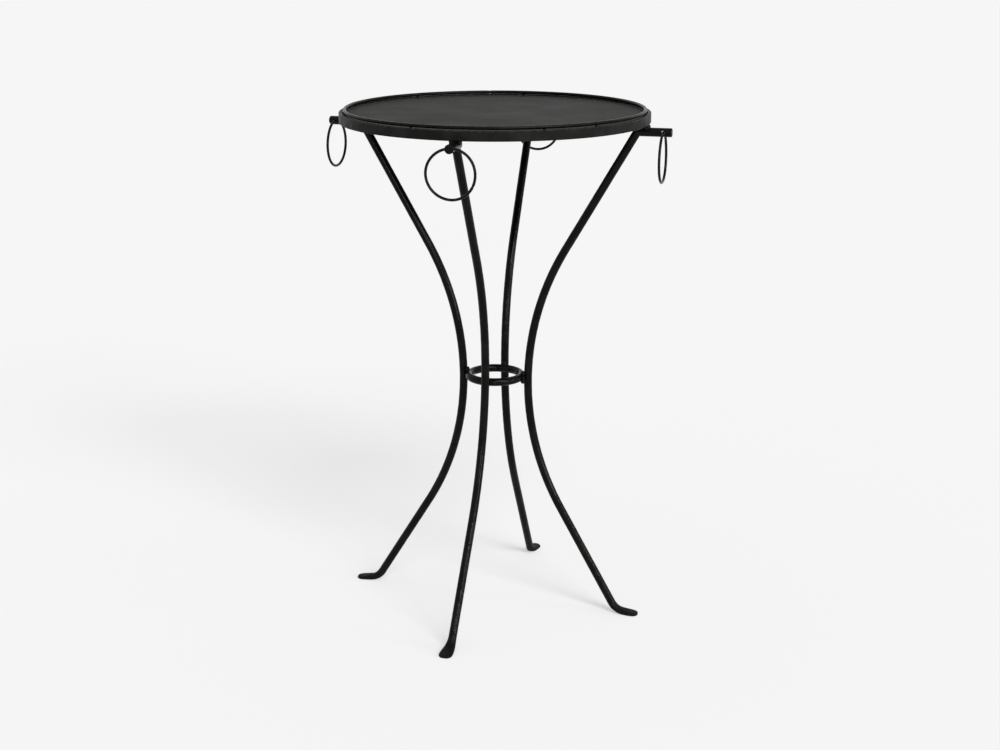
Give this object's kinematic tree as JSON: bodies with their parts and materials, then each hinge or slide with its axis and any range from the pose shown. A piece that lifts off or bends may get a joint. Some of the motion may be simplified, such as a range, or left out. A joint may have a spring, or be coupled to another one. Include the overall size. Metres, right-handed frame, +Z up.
{
  "type": "side table",
  "caption": "Round wrought iron side table: bent bar legs gathered at a waist ring, recessed sheet top in a flat bar hoop, and loose wire rings hanging from short pegs.",
  "frame": {"origin": "on the floor, under the middle of the round top", "axes": "+Z up, front leg towards -Y, right leg towards +X"},
  "size_m": [0.5049, 0.4999, 0.75],
  "materials": {
    "iron": "satin",
    "panel": "satin",
    "weld": "satin",
    "ring": "satin"
  },
  "bodies": {
    "frame": {"rim_band": "iron", "panel_ledge": "iron", "top_panel": "panel", "lip_ring": "iron", "lip_tacks": "weld", "leg_front": "iron", "leg_right": "iron", "leg_back": "iron", "leg_left": "iron", "waist_ring": "iron", "waist_welds": "weld", "leg_top_welds": "weld", "peg_front": "iron", "peg_right": "iron", "peg_back": "iron", "peg_left": "iron", "peg_welds": "weld"},
    "ring_front": {"hanging_ring_front": "ring"},
    "ring_right": {"hanging_ring_right": "ring"},
    "ring_back": {"hanging_ring_back": "ring"},
    "ring_left": {"hanging_ring_left": "ring"}
  },
  "joints": [
    {"name": "ring_swing_front", "type": "hinge", "parent": "frame", "child": "ring_front", "pos_m": [0.01337, -0.24213, 0.7244], "axis": [-0.9985, -0.0551, 0], "range_deg": [-51, 228]},
    {"name": "ring_swing_right", "type": "hinge", "parent": "frame", "child": "ring_right", "pos_m": [0.23915, 0.0129, 0.7211], "axis": [0.0538, -0.9985, 0], "range_deg": [-48, 220]},
    {"name": "ring_swing_back", "type": "hinge", "parent": "frame", "child": "ring_back", "pos_m": [-0.00305, 0.24048, 0.7229], "axis": [0.9999, 0.0127, 0], "range_deg": [-50, 223]},
    {"name": "ring_swing_left", "type": "hinge", "parent": "frame", "child": "ring_left", "pos_m": [-0.24384, 0.00541, 0.7216], "axis": [0.0222, 0.9998, 0], "range_deg": [-53, 226]}
  ]
}
